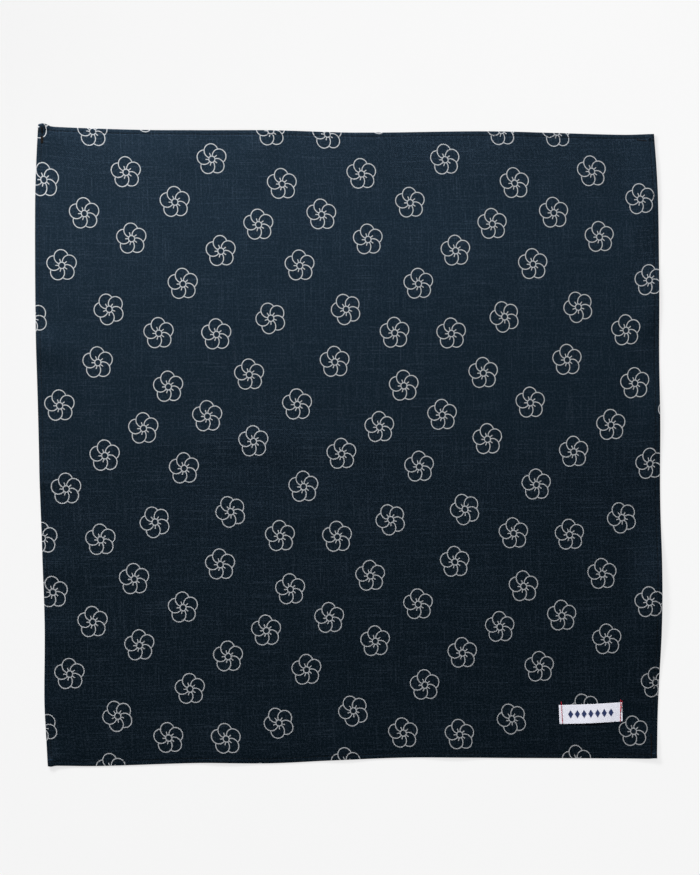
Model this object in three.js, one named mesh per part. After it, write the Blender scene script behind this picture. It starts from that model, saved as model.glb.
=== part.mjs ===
// A square cotton bandana lying flat on a table, with a small woven label sewn on near one corner.
// Millimetres. +X is to the right and +Y away from the label's edge as the cloth is looked down on,
// and +Z is up. The origin is the middle of the cloth's outline, on the table.

import * as THREE from 'three';

// The cloth as it is cut and hemmed, before it is laid down
const CLOTH_WIDTH = 546;
const CLOTH_HEIGHT = 560;
const CLOTH_WALL = 1.0;

// The hem: the cloth turned under all round, with its under layer a slit away from the panel
const HEM_WIDTH = 6.0;
const HEM_SLIT = 0.3;
const HEM_RAMP = 13.0;
const FOLD_RADIUS = CLOTH_WALL + HEM_SLIT / 2;
const FOLD_STEPS = 4;
const RAMP_STEPS = 3;

// The label, measured from the cloth's bottom right corner to the label's own middle
const LABEL_WIDTH = 56.4;
const LABEL_HEIGHT = 17.0;
const LABEL_WALL = 1.0;
const LABEL_GAP = 0.3;
const LABEL_FROM_RIGHT = 59.7;
const LABEL_FROM_BOTTOM = 40.2;
const LABEL_TILT = 2.9;
const LABEL_BOW = 1.1;
const LABEL_COLUMNS = 12;
const LABEL_ROWS = 4;

// How finely the panel is divided along each side
const PANEL_CELLS = 32;

const COLOURS = { cloth: '#1b2833', label: '#eef0f5' };

// Where the four corners lie on the table
const CORNERS = {
  topLeft: { x: -274.4, y: 282.7 },
  topRight: { x: 270.2, y: 275.2 },
  bottomLeft: { x: -265.9, y: -283.4 },
  bottomRight: { x: 272.7, y: -277.3 },
};

// How far each edge stands out from the straight line between its corners,
// at a share of the way from left to right, or from bottom to top
const EDGE_BOWS = {
  top: [
    { along: 0.0, out: 0.0 },
    { along: 0.035, out: -1.1 },
    { along: 0.18, out: -2.5 },
    { along: 0.38, out: -1.3 },
    { along: 0.52, out: -2.3 },
    { along: 0.72, out: 0.4 },
    { along: 0.83, out: -0.1 },
    { along: 0.95, out: -1.0 },
    { along: 1.0, out: 0.0 },
  ],
  bottom: [
    { along: 0.0, out: 0.0 },
    { along: 0.08, out: 1.1 },
    { along: 0.25, out: -0.6 },
    { along: 0.365, out: 0.4 },
    { along: 0.48, out: -1.8 },
    { along: 0.6, out: -3.3 },
    { along: 0.77, out: -1.8 },
    { along: 0.94, out: -0.4 },
    { along: 1.0, out: 0.0 },
  ],
  left: [
    { along: 0.0, out: 0.0 },
    { along: 0.1, out: 2.2 },
    { along: 0.21, out: 1.0 },
    { along: 0.32, out: 2.0 },
    { along: 0.43, out: 3.4 },
    { along: 0.54, out: 4.0 },
    { along: 0.7, out: 5.0 },
    { along: 0.87, out: 4.0 },
    { along: 0.94, out: 2.4 },
    { along: 1.0, out: 0.0 },
  ],
  right: [
    { along: 0.0, out: 0.0 },
    { along: 0.085, out: 1.4 },
    { along: 0.2, out: 4.6 },
    { along: 0.31, out: 5.3 },
    { along: 0.42, out: 4.2 },
    { along: 0.53, out: 4.4 },
    { along: 0.65, out: 3.9 },
    { along: 0.78, out: 4.1 },
    { along: 0.89, out: 3.4 },
    { along: 0.95, out: 1.9 },
    { along: 1.0, out: 0.0 },
  ],
};

// Where the cloth stands off the table: soft ridges, each with the middle and the direction of its
// crest (degrees anticlockwise from +X), its length, its width and its height above the table
const RIDGES = {
  centreFold: { x: -78, y: 2, turn: 0, length: 430, width: 52, height: 1.0 },
  shortFold: { x: -56, y: -66, turn: 1, length: 130, width: 40, height: 0.6 },
  broadRise: { x: 106, y: 146, turn: -60, length: 180, width: 100, height: 1.3 },
  left1: { x: -276, y: 88, turn: -6, length: 170, width: 50, height: 1.5 },
  left2: { x: -272, y: -29, turn: 8, length: 130, width: 42, height: 1.2 },
  left3: { x: -266, y: -108, turn: -4, length: 150, width: 52, height: 1.6 },
  left4: { x: -262, y: -172, turn: 10, length: 210, width: 56, height: 2.0 },
  left5: { x: -264, y: -232, turn: 3, length: 110, width: 40, height: 1.0 },
  top1: { x: -146, y: 280, turn: 84, length: 130, width: 52, height: 1.5 },
  top2: { x: -72, y: 279, turn: 72, length: 170, width: 48, height: 1.8 },
  top3: { x: 16, y: 277, turn: 96, length: 120, width: 46, height: 1.2 },
  top4: { x: 148, y: 277, turn: 82, length: 110, width: 60, height: 1.0 },
  rightLow: { x: 279, y: -136, turn: 91, length: 160, width: 96, height: 4.6 },
  rightUpper: { x: 274, y: 236, turn: 88, length: 150, width: 76, height: 2.4 },
  rightMiddle: { x: 276, y: 128, turn: 90, length: 90, width: 60, height: 1.4 },
  rightLowerMiddle: { x: 277, y: 24, turn: 90, length: 110, width: 60, height: 1.6 },
  bottom1: { x: -108, y: -284, turn: 95, length: 80, width: 60, height: 1.0 },
  bottom2: { x: -4, y: -280, turn: 86, length: 70, width: 56, height: 0.9 },
  bottom3: { x: 92, y: -277, turn: 90, length: 90, width: 66, height: 1.1 },
  topLeftCorner: { x: -272, y: 279, turn: -50, length: 70, width: 56, height: 3.6 },
  bottomRightCorner: { x: 270, y: -272, turn: 45, length: 60, width: 70, height: 2.0 },
  bottomLeftCorner: { x: -263, y: -280, turn: -40, length: 46, width: 50, height: 1.4 },
};

// A smooth curve through the rows of one edge table
function bowAt(rows, share) {
  let row = rows.findIndex((next) => next.along > share) - 1;
  if (row < 0) row = rows.length - 2;
  const slopeAt = (k) => {
    const before = rows[Math.max(k - 1, 0)];
    const after = rows[Math.min(k + 1, rows.length - 1)];
    return (after.out - before.out) / (after.along - before.along);
  };
  const from = rows[row];
  const to = rows[row + 1];
  const span = to.along - from.along;
  const t = (share - from.along) / span;
  const ease = t * t * (3 - 2 * t);
  const leave = t * (1 - t) * (1 - t) * span * slopeAt(row);
  const arrive = t * t * (t - 1) * span * slopeAt(row + 1);
  return from.out + (to.out - from.out) * ease + leave + arrive;
}

// A point of one edge, with the bow to the left or the right of its way from one corner to the next
function edgePoint(from, to, rows, share, side) {
  const start = new THREE.Vector2(from.x, from.y);
  const run = new THREE.Vector2(to.x, to.y).sub(start);
  const outward = new THREE.Vector2(-run.y, run.x).normalize().multiplyScalar(side);
  return start.addScaledVector(run, share).addScaledVector(outward, bowAt(rows, share));
}

// Where a point of the flat cloth lies on the table: across and up are measured from the bottom left
// corner, and the four laid edges are blended over the panel
function layDown(across, up) {
  const u = across / CLOTH_WIDTH;
  const v = up / CLOTH_HEIGHT;
  const { topLeft, topRight, bottomLeft, bottomRight } = CORNERS;
  const point = new THREE.Vector2()
    .addScaledVector(edgePoint(topLeft, topRight, EDGE_BOWS.top, u, 1), v)
    .addScaledVector(edgePoint(bottomLeft, bottomRight, EDGE_BOWS.bottom, u, -1), 1 - v)
    .addScaledVector(edgePoint(bottomLeft, topLeft, EDGE_BOWS.left, v, 1), 1 - u)
    .addScaledVector(edgePoint(bottomRight, topRight, EDGE_BOWS.right, v, -1), u);
  const shares = [
    [topLeft, (1 - u) * v],
    [topRight, u * v],
    [bottomLeft, (1 - u) * (1 - v)],
    [bottomRight, u * (1 - v)],
  ];
  for (const [corner, share] of shares) point.addScaledVector(corner, -share);
  return point;
}

// A smooth hump: 1 in the middle and 0 from a distance of 1 outwards
function hump(distance) {
  return Math.abs(distance) < 1 ? Math.cos((distance * Math.PI) / 2) ** 2 : 0;
}

// How far the cloth stands off the table at a place on it
function liftAt(point) {
  let lift = 0;
  for (const ridge of Object.values(RIDGES)) {
    const local = new THREE.Vector2(point.x - ridge.x, point.y - ridge.y);
    local.rotateAround(new THREE.Vector2(), THREE.MathUtils.degToRad(-ridge.turn));
    lift += ridge.height * hump((2 * local.x) / ridge.length) * hump((2 * local.y) / ridge.width);
  }
  return lift;
}

// The hem's section from the field outwards over the top, round the fold and back underneath, as
// the distance in from the edge and the height above the table
function hemSection() {
  const rise = CLOTH_WALL + HEM_SLIT;
  const ramp = Array.from({ length: RAMP_STEPS }, (_, k) => {
    const share = k / RAMP_STEPS;
    const ease = share * share * (3 - 2 * share);
    return { inset: HEM_WIDTH + HEM_RAMP * (1 - share), rise: rise * ease };
  });
  const over = ramp.map((row) => ({ inset: row.inset, height: CLOTH_WALL + row.rise }));
  const under = ramp.map((row) => ({ inset: row.inset, height: row.rise })).reverse();
  const fold = Array.from({ length: FOLD_STEPS + 1 }, (_, k) => {
    const angle = Math.PI * (0.5 - k / FOLD_STEPS);
    const inset = FOLD_RADIUS * (1 - Math.cos(angle));
    return { inset, height: FOLD_RADIUS * (1 + Math.sin(angle)) };
  });
  return [
    ...over,
    { inset: HEM_WIDTH, height: rise + CLOTH_WALL },
    ...fold,
    { inset: HEM_WIDTH, height: 0 },
    { inset: HEM_WIDTH, height: CLOTH_WALL },
    { inset: FOLD_RADIUS, height: CLOTH_WALL },
    { inset: FOLD_RADIUS, height: rise },
    { inset: HEM_WIDTH, height: rise },
    ...under,
  ];
}

// Collects the points and triangles of one closed body
class Shell {
  constructor() {
    this.positions = [];
    this.triangles = [];
  }

  point(x, y, z) {
    this.positions.push(x, y, z);
    return this.positions.length / 3 - 1;
  }

  // Four corners in order round the face, split from the first to the third, or the other way
  quad(a, b, c, d, otherWay = false) {
    if (otherWay) this.triangles.push(a, b, d, b, c, d);
    else this.triangles.push(a, b, c, a, c, d);
  }

  // A sheet of points, rows by columns, facing up or down
  sheet(rows, facesUp) {
    for (let j = 0; j + 1 < rows.length; j++) {
      for (let i = 0; i + 1 < rows[j].length; i++) {
        const near = [rows[j][i], rows[j][i + 1]];
        const far = [rows[j + 1][i], rows[j + 1][i + 1]];
        if (facesUp) this.quad(near[0], near[1], far[1], far[0]);
        else this.quad(near[0], far[0], far[1], near[1]);
      }
    }
  }

  geometry() {
    const geometry = new THREE.BufferGeometry();
    geometry.setAttribute('position', new THREE.Float32BufferAttribute(this.positions, 3));
    geometry.setIndex(this.triangles);
    geometry.computeVertexNormals();
    return geometry;
  }
}

// The places on the flat cloth at one distance in from its edges, anticlockwise from the bottom left
function placesRound(inset) {
  const places = [];
  const wide = CLOTH_WIDTH - 2 * inset;
  const high = CLOTH_HEIGHT - 2 * inset;
  for (let k = 0; k < 4 * PANEL_CELLS; k++) {
    const side = Math.floor(k / PANEL_CELLS);
    const share = (k % PANEL_CELLS) / PANEL_CELLS;
    const u = [share, 1, 1 - share, 0][side];
    const v = [0, share, 1, 1 - share][side];
    places.push({ across: inset + wide * u, up: inset + high * v });
  }
  return places;
}

function clothGeometry() {
  const shell = new Shell();
  const addPlace = ({ across, up }, height) => {
    const at = layDown(across, up);
    return shell.point(at.x, at.y, liftAt(at) + height);
  };

  // Rings of points round the cloth, one for each row of the hem's section
  const section = hemSection();
  const rings = section.map(({ inset, height }) =>
    placesRound(inset).map((place) => addPlace(place, height)));
  const count = 4 * PANEL_CELLS;
  for (let row = 0; row + 1 < rings.length; row++) {
    const [ring, after] = [rings[row], rings[row + 1]];
    const inward = section[row + 1].inset > section[row].inset;
    for (let k = 0; k < count; k++) {
      const next = (k + 1) % count;
      shell.quad(ring[k], after[k], after[next], ring[next], inward);
    }
  }

  // The field inside the hem, above and below, which shares its border points with the last rings
  const inset = section[0].inset;
  const cellWidth = (CLOTH_WIDTH - 2 * inset) / PANEL_CELLS;
  const cellHeight = (CLOTH_HEIGHT - 2 * inset) / PANEL_CELLS;
  for (const [ring, height, facesUp] of [[rings[0], CLOTH_WALL, true], [rings.at(-1), 0, false]]) {
    const rows = [];
    for (let j = 0; j <= PANEL_CELLS; j++) {
      const row = [];
      for (let i = 0; i <= PANEL_CELLS; i++) {
        if (j === 0) row.push(ring[i]);
        else if (i === PANEL_CELLS) row.push(ring[PANEL_CELLS + j]);
        else if (j === PANEL_CELLS) row.push(ring[3 * PANEL_CELLS - i]);
        else if (i === 0) row.push(ring[count - j]);
        else row.push(addPlace({ across: inset + cellWidth * i, up: inset + cellHeight * j }, height));
      }
      rows.push(row);
    }
    shell.sheet(rows, facesUp);
  }
  return shell.geometry();
}

// The label lies on the panel and is made from the panel's own places, moved out. It is stitched
// down at its two ends only, so its lower edge bows up between them.
function labelGeometry() {
  const shell = new Shell();
  const middle = new THREE.Vector2(CLOTH_WIDTH - LABEL_FROM_RIGHT, LABEL_FROM_BOTTOM);
  const tilt = THREE.MathUtils.degToRad(LABEL_TILT);
  const placeOf = (i, j) => {
    const u = i / LABEL_COLUMNS;
    const v = j / LABEL_ROWS;
    const flat = new THREE.Vector2((u - 0.5) * LABEL_WIDTH, (v - 0.5) * LABEL_HEIGHT);
    flat.rotateAround(new THREE.Vector2(), tilt).add(middle);
    const at = layDown(flat.x, flat.y);
    const bow = LABEL_BOW * Math.sin(Math.PI * u) ** 2 * (1 - v);
    return { at, seat: CLOTH_WALL + liftAt(at) + LABEL_GAP + bow };
  };
  const rowsAt = (height) =>
    Array.from({ length: LABEL_ROWS + 1 }, (_row, j) =>
      Array.from({ length: LABEL_COLUMNS + 1 }, (_column, i) => {
        const { at, seat } = placeOf(i, j);
        return shell.point(at.x, at.y, seat + height);
      }));
  const under = rowsAt(0);
  const over = rowsAt(LABEL_WALL);
  shell.sheet(over, true);
  shell.sheet(under, false);
  for (let i = 0; i < LABEL_COLUMNS; i++) {
    shell.quad(under[0][i], under[0][i + 1], over[0][i + 1], over[0][i]);
    shell.quad(under.at(-1)[i + 1], under.at(-1)[i], over.at(-1)[i], over.at(-1)[i + 1]);
  }
  for (let j = 0; j < LABEL_ROWS; j++) {
    shell.quad(under[j + 1][0], under[j][0], over[j][0], over[j + 1][0]);
    shell.quad(under[j].at(-1), under[j + 1].at(-1), over[j + 1].at(-1), over[j].at(-1));
  }
  return shell.geometry();
}

function clothMesh() {
  const material = new THREE.MeshStandardMaterial({ color: COLOURS.cloth, roughness: 0.95, metalness: 0 });
  const mesh = new THREE.Mesh(clothGeometry(), material);
  mesh.name = 'cloth';
  return mesh;
}

function labelMesh() {
  const material = new THREE.MeshStandardMaterial({ color: COLOURS.label, roughness: 0.7, metalness: 0 });
  const mesh = new THREE.Mesh(labelGeometry(), material);
  mesh.name = 'label';
  return mesh;
}

const group = new THREE.Group();
group.add(clothMesh(), labelMesh());

// The middle of the laid outline comes to the origin
const outline = new THREE.Box3().setFromObject(group);
group.position.x = -(outline.min.x + outline.max.x) / 2;
group.position.y = -(outline.min.y + outline.max.y) / 2;

export default group;
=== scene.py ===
"""Square cotton bandana laid flat on a pale studio floor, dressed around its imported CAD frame.

The cloth is a dark slub cotton with line-drawn blossoms, double-turned hems and a small woven label.
Lengths are in metres, and MM turns a size taken in millimetres into metres."""

import math

import bpy
import numpy as np
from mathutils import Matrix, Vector, noise


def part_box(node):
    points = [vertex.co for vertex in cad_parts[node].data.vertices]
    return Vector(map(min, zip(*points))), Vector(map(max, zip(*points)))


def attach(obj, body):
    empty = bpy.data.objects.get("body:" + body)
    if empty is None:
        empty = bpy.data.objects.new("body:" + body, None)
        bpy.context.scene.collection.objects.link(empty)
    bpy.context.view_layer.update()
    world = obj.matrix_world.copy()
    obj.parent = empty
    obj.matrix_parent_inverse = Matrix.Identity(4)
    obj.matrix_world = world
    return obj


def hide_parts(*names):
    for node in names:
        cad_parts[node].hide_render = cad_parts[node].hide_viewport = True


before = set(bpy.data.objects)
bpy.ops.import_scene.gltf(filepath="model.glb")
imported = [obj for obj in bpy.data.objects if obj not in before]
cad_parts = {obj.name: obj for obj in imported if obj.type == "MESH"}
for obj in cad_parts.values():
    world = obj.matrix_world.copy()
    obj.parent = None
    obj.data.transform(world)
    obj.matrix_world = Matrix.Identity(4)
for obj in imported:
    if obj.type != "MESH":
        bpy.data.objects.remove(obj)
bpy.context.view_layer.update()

bl_info = {
    "name": "Square cotton bandana",
    "version": (1, 0, 0),
    "blender": (4, 5, 0),
    "location": "3D View > Sidebar > Bandana",
    "description": "Lays out a printed slub cotton bandana with hems, stitching and a woven label",
    "category": "Object",
}

MM = 0.001
CLOTH_LOW, CLOTH_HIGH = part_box("cloth")

# Names of the pieces, which the operators also look for.
CLOTH_PIECE = "bandana_cloth"
HEM_STITCH_PIECE = "hem_stitches"
TACK_PIECE = "corner_tacks"
LABEL_PIECE = "woven_label"
LABEL_STITCH_PIECE = "label_stitches"

# The hemmed cloth; each hem takes 12 mm of the piece that it was cut from, turned twice.
CLOTH_WIDTH = 546 * MM
CLOTH_LENGTH = 560 * MM

# Corners of the cloth as it lies, in mm on the drawing table that the CAD part was laid out on.
CORNERS = {
    "top_left": (-274.4, 282.7),
    "top_right": (270.2, 275.2),
    "bottom_left": (-265.9, -283.4),
    "bottom_right": (272.7, -277.3),
}
# Each side runs from its first corner to its last, and outward says which hand is outside.
SIDES = {
    "top": ("top_left", "top_right", 1),
    "bottom": ("bottom_left", "bottom_right", -1),
    "left": ("bottom_left", "top_left", 1),
    "right": ("bottom_right", "top_right", -1),
}
# Share of the side's length, and how far the edge bows out there in mm: chosen by hand from stations
# that a scratch program measured on the photo.
EDGE_BOWS = {
    "top": ((0, 0), (0.035, -1.1), (0.18, -2.5), (0.38, -1.3), (0.52, -2.3), (0.72, 0.4),
            (0.83, -0.1), (0.95, -1.0), (1, 0)),
    "bottom": ((0, 0), (0.08, 1.1), (0.25, -0.6), (0.365, 0.4), (0.48, -1.8), (0.6, -3.3),
               (0.77, -1.8), (0.94, -0.4), (1, 0)),
    "left": ((0, 0), (0.1, 2.2), (0.21, 1.0), (0.32, 2.0), (0.43, 3.4), (0.54, 4.0),
             (0.7, 5.0), (0.87, 4.0), (0.94, 2.4), (1, 0)),
    "right": ((0, 0), (0.085, 1.4), (0.2, 4.6), (0.31, 5.3), (0.42, 4.2), (0.53, 4.4),
              (0.65, 3.9), (0.78, 4.1), (0.89, 3.4), (0.95, 1.9), (1, 0)),
}

# Soft folds and lifted edges: x, y, turn in degrees, length, width, height, in mm on the table.
RIDGES = (
    (-78, 2, 0, 430, 52, 0.5),
    (-56, -66, 1, 130, 40, 0.3),
    (106, 146, -60, 180, 100, 0.8),
    (-276, 88, -6, 120, 50, 0.8),
    (-272, -29, 8, 100, 42, 0.7),
    (-266, -108, -4, 110, 52, 0.8),
    (-262, -172, 10, 130, 56, 0.8),
    (-264, -232, 3, 90, 40, 0.5),
    (-146, 280, 84, 130, 52, 0.7),
    (-72, 279, 72, 120, 48, 0.7),
    (16, 277, 96, 110, 46, 0.6),
    (148, 277, 82, 110, 60, 0.6),
    (279, -136, 91, 160, 72, 4.4),
    (274, 236, 88, 150, 76, 1.8),
    (276, 128, 90, 90, 60, 1.4),
    (277, 24, 90, 110, 60, 1.6),
    (-108, -284, 95, 80, 60, 1.0),
    (-4, -280, 86, 70, 56, 0.9),
    (92, -277, 90, 90, 66, 1.1),
    (-272, 279, -50, 70, 56, 1.4),
    (270, -272, 45, 60, 70, 2.0),
    (-263, -280, -40, 46, 50, 1.4),
)
# The cloth's slight unevenness between the folds: size of the swells and their height.
WAVERS = (
    (58 * MM, 0.34 * MM),
    (23 * MM, 0.03 * MM),
)
# Thick folded corners: flat place across and up, radius, push across and up, and lift, in mm.
CORNER_EARS = (
    (4.5, 560, 8, 0.4, 2.1, 0.9),
    (2.5, 0, 6, 0.2, -0.9, 0.1),
    (544, 0, 6, 0.3, 0.4, 0.2),
)

# Hem: three layers, rounded at the outer fold, with a row of stitches near its inner fold.
FOLD_STEPS = 5
HEM_WIDTH = 5.3 * MM
HEM_LIP = 0.4 * MM
HEM_RAMP = 70 * MM
HEM_WANDER = 0.35 * MM
HEM_WANDER_SIZE = 38 * MM
WANDER_LAYERS = (3.1, 7.7)
STITCH_INSET = 3.9 * MM
SEAM_END = 2.2 * MM
GROOVE_HALF = 1.0 * MM
GROOVE_TOP = 0.13 * MM
GROOVE_UNDER = 0.32 * MM
CORNER_BULK = 0.7 * MM
# Mesh lines inside each edge, past the rounded fold, in mm.
HEM_LINES = (1.4, 2.3, 3.1, 3.5, 3.9, 4.3, 4.7, 5.1, 5.3, 5.5, 6.8, 8.6, 10.8, 13.4, 16.2, 20, 24.5)

# The printed repeat is a half drop: each next column is a repeat wide and half a repeat lower.
REPEAT_ACROSS = (206 * MM, 0)
REPEAT_DOWN = (-103 * MM, -180 * MM)
# Blossoms of one repeat: flat place across and up in mm, and whether it is tilted.
# A scratch program found the blossoms in the photo and fitted these places; they aren't hand-charted.
BLOSSOMS = (
    (65.5, 402.0, True),
    (205.5, 393.5, True),
    (108.0, 380.5, False),
    (158.0, 379.0, False),
    (55.0, 355.0, False),
    (186.0, 343.5, False),
    (115.5, 333.0, False),
    (227.5, 317.0, False),
    (149.0, 306.5, False),
    (93.5, 296.5, False),
    (189.0, 284.5, False),
    (60.0, 273.0, False),
    (128.5, 260.5, False),
    (232.5, 244.0, False),
)
UPRIGHT_TURN = math.radians(93.7)
TILTED_TURN = math.radians(111.4)
# The cloth shrank more across than up after it was printed, so the blossoms are a little tall.
# These sizes and the turns above were fitted to an average of the photo's blossoms.
PRINT_STRETCH = (0.967, 1.036)
# The cloth was stretched a little out of square when it was cut and hemmed, so its threads drift.
# Powers of the place across and up, from -1 to 1, and the drift across and up in mm. The same scratch
# program fitted these numbers by least squares.
THREAD_DRIFT = (
    (1, 0, -0.1, -0.9),
    (0, 1, 2.4, 0.2),
    (1, 1, -2.3, 1.2),
    (2, 0, -3.5, 1.4),
    (0, 2, 0.7, 0.7),
    (3, 0, -0.2, 4.0),
    (2, 1, -0.5, 0.6),
    (1, 2, 1.5, 0.3),
    (0, 3, -7.9, -1.9),
)
# The top left corner was pulled outward as it was hemmed: flat place, radius and pull, in mm.
CORNER_PULL = (0, 540, 66, -0.8, 4.4)
PETALS = 5

# Seam ends oversewn in brown thread: from across and up, to across and up, in mm on the flat cloth.
TACK_ROWS = (
    (3.2, 551.0, 3.6, 544.7),
    (4.0, 551.0, 4.4, 544.7),
    (4.8, 550.4, 5.0, 545.2),
    (2.6, 558.2, 4.4, 552.6),
    (530.4, 555.2, 539.1, 553.6),
    (540.1, 22.4, 540.6, 1.6),
)

# Label: middle of the ribbon on the flat cloth, its tilt, and how high its ends lie over the cloth.
LABEL_MIDDLE = (CLOTH_WIDTH - 59.7 * MM, 40.2 * MM)
LABEL_TILT = math.radians(2.9)
LABEL_SEAT = 0.04 * MM
# The label's ends are pulled up, so that it curves a little in its own plane.
LABEL_SMILE = 0.45 * MM
# Ripples of the ribbon between its ends: height, size, and the layer of noise that they are cut from.
RIPPLE = 0.12 * MM
RIPPLE_SIZE = 9 * MM
RIPPLE_LAYER = 5.5
# Mesh cells along and across the ribbon, and the closer lines at its edges in mm.
LABEL_CELLS = (72, 24)
LABEL_EDGE_LINES = (0, 0.05, 0.16, 0.5)
# Length of the cut end's one stitch.
CUT_END = 1.8 * MM
# Rows of stitches: x and y at the top, x and y at the foot, in mm from the label's middle.
LABEL_ROWS = (
    (-25.9, 11.2, -25.5, -8.2),
    (26.8, 11.0, 26.0, -9.3),
    (27.9, 8.6, 26.7, -0.6),
)
# The cut end of the thread, which lies loose at the label's top right corner.
LOOSE_ENDS = (
    (27.4, 9.9, 28.9, 8.7),
)

# Streaks of the yarns, the same both ways: width and length in mm, the band of noise that shows, and
# its strength. The yarns are 0.42 mm apart, finer than a pixel of the picture, so the first row draws
# them about twice as wide. The second row is the slubs.
YARN_STREAKS = (
    (0.85, 26, 0.28, 0.72, 0.15),
    (1.0, 48, 0.55, 0.75, 0.26),
)
# Fuzz of loose fibres: size in mm, drawn coarse enough to show, and its strength.
FUZZ_SIZE = 1.5
FUZZ_STRENGTH = 0.34
# How many times the real spacing the plain weave's crossings are drawn at, to show up close.
WEAVE_DRAWN = 2
WEAVE_DEPTH = 0.06 * MM
# Softness of the printed line's edge, and how far the yarns break it.
INK_SOFTNESS = 0.1 * MM
INK_BREAK = 0.14 * MM
# How far a stamen is turned from the middle of its petal.
STAMEN_TURN = math.radians(15.5)
# Added to a distance to take its line out.
FAR_OFF = 20 * MM
# How much of the cloth the ink covers, at most and at least, on the face and on the reverse.
FACE_COVER = (1.0, 0.86)
REVERSE_COVER = (0.16, 0.07)

# How many times the real spacing the ribbon's ribs are drawn at, as they are finer than a pixel.
RIB_DRAWN = 2
# The row of diamonds: pitch, half width and half height, and their number.
DIAMOND_PITCH = 6.0 * MM
DIAMOND_HALF = (2.5 * MM, 4.0 * MM)
DIAMONDS = 7

# Sides of a stitch's tube, and the length of thread in one turn of its plies.
THREAD_SIDES = 6
TWIST_PITCH = 1.2 * MM

# Middle of the picture on the cloth, measured from the frame's origin.
VIEW_MIDDLE = (1.4 * MM, 7.4 * MM)
# The floor: radii of its rings, number of sides, and how far it lies under the cloth.
FLOOR_RINGS = (0.5, 1.5, 5.0)
FLOOR_SIDES = 96
FLOOR_DEPTH = 0.02 * MM
# The opal sheet is lit less from below where the side softbox is near, so that its white stays even:
# how much less at one metre from the softbox, falling with the cube of the distance.
GLOW_DIP = 0.67
# The most of that fall that is taken off, so that the floor round the softbox stays pale.
GLOW_HOLD = 0.64
# Softboxes: place, width and height.
KEY_PLACE = (-0.01, 0.71, 1.2)
KEY_SIZE = (1.12, 0.78)
SIDE_PLACE = (-0.85, 1.05, 0.85)
SIDE_SIZE = (0.8, 0.35)


def linear(hex_colour):
    """Scene-linear red, green, blue and alpha of an sRGB hex colour."""
    parts = [int(hex_colour[i:i + 2], 16) / 255 for i in (1, 3, 5)]
    return tuple(p / 12.92 if p <= 0.04045 else ((p + 0.055) / 1.055) ** 2.4 for p in parts) + (1.0,)


def length_setting(name, description, default):
    """A setting that is a length in metres."""
    return bpy.props.FloatProperty(
        name=name, description=description, default=default, min=0, precision=5,
        unit="LENGTH", subtype="DISTANCE")


def colour_setting(name, description, hex_colour):
    """A setting that is a colour, given as sRGB hex."""
    return bpy.props.FloatVectorProperty(
        name=name, description=description, default=linear(hex_colour), size=4, min=0, max=1,
        subtype="COLOR")


class BandanaStage(bpy.types.PropertyGroup):
    """Camera, light and floor."""
    camera_height: length_setting("Camera height", "Height of the lens above the cloth", 2.0)
    view_length: length_setting(
        "View length", "Length of floor that the long side of the picture takes in", 0.7744)
    key_power: bpy.props.FloatProperty(
        name="Key power", description="Power of the high softbox past the cloth's top edge",
        default=8.8, min=0, unit="POWER")
    side_power: bpy.props.FloatProperty(
        name="Side power", description="Power of the low softbox past the top left corner",
        default=41, min=0, unit="POWER")
    surround: bpy.props.FloatProperty(
        name="Surround", description="Brightness of the pale studio walls", default=0.43, min=0)
    floor: colour_setting("Floor", "Opal sheet that the cloth lies on", "#767676")
    glow: bpy.props.FloatProperty(
        name="Floor glow", description="Light that comes up through the opal sheet", default=0.862, min=0)


class BandanaCloth(bpy.types.PropertyGroup):
    """The printed cotton."""
    layer: length_setting("Layer", "Thickness of one layer of the cotton", 0.38 * MM)
    cell: length_setting("Mesh cell", "Size of the mesh cells in the middle of the cloth", 3.4 * MM)
    yarn: length_setting("Yarn spacing", "Spacing of the yarns, the same both ways", 0.42 * MM)
    dye: colour_setting("Dye", "Cloth between the slubs", "#10181f")
    slub: colour_setting("Slub", "Thick soft yarns, which took the dye less", "#232c35")
    shade: colour_setting("Shade", "The deepest dyed yarns", "#02080c")
    back: colour_setting("Reverse", "Cloth as it shows on the reverse", "#141e26")
    ink: colour_setting("Ink", "Pigment of the blossoms", "#9ea0a2")
    petal_radius: length_setting("Petal radius", "Radius of a petal's circle", 6.2 * MM)
    petal_reach: length_setting("Petal reach", "From the blossom's middle to a petal's", 7.23 * MM)
    ring_radius: length_setting("Ring radius", "Radius of the ring in a blossom's middle", 2.73 * MM)
    stamen_reach: length_setting("Stamen reach", "From the blossom's middle to a stamen's tip", 5.3 * MM)
    line: length_setting("Line width", "Width of the printed line", 0.82 * MM)


class BandanaThread(bpy.types.PropertyGroup):
    """Sewing thread."""
    pitch: length_setting("Stitch pitch", "Length of one hem stitch with its gap", 2.8 * MM)
    diameter: length_setting("Thread diameter", "Diameter of the sewing thread", 0.4 * MM)
    label_diameter: length_setting("Label thread diameter", "Diameter of the label's thread", 0.62 * MM)
    tack_diameter: length_setting(
        "Tack thread diameter", "Diameter of the corner tacks' thread", 0.7 * MM)
    # The hem thread is navy, set darker still as painted shade of the stitch groove that it lies in.
    hem: colour_setting("Hem thread", "Thread of the hems", "#04070a")
    tack: colour_setting("Tack thread", "Thread of the oversewn seam ends", "#150d06")
    label: colour_setting("Label thread", "Thread that holds the label", "#b81b30")


class BandanaLabel(bpy.types.PropertyGroup):
    """The woven label."""
    length: length_setting("Length", "Length of the ribbon", 56.4 * MM)
    width: length_setting("Width", "Width of the ribbon", 17.0 * MM)
    thickness: length_setting("Thickness", "Thickness of the ribbon", 0.34 * MM)
    bow: length_setting("Bow", "How far the lower edge stands off the cloth in its middle", 1.1 * MM)
    rib: length_setting("Rib", "Spacing of the ribbon's weft", 0.3 * MM)
    ribbon: colour_setting("Ribbon", "Warp of the ribbon", "#e9eaf5")
    motif: colour_setting("Motif", "Row of diamonds woven into the ribbon", "#26345e")


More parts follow.
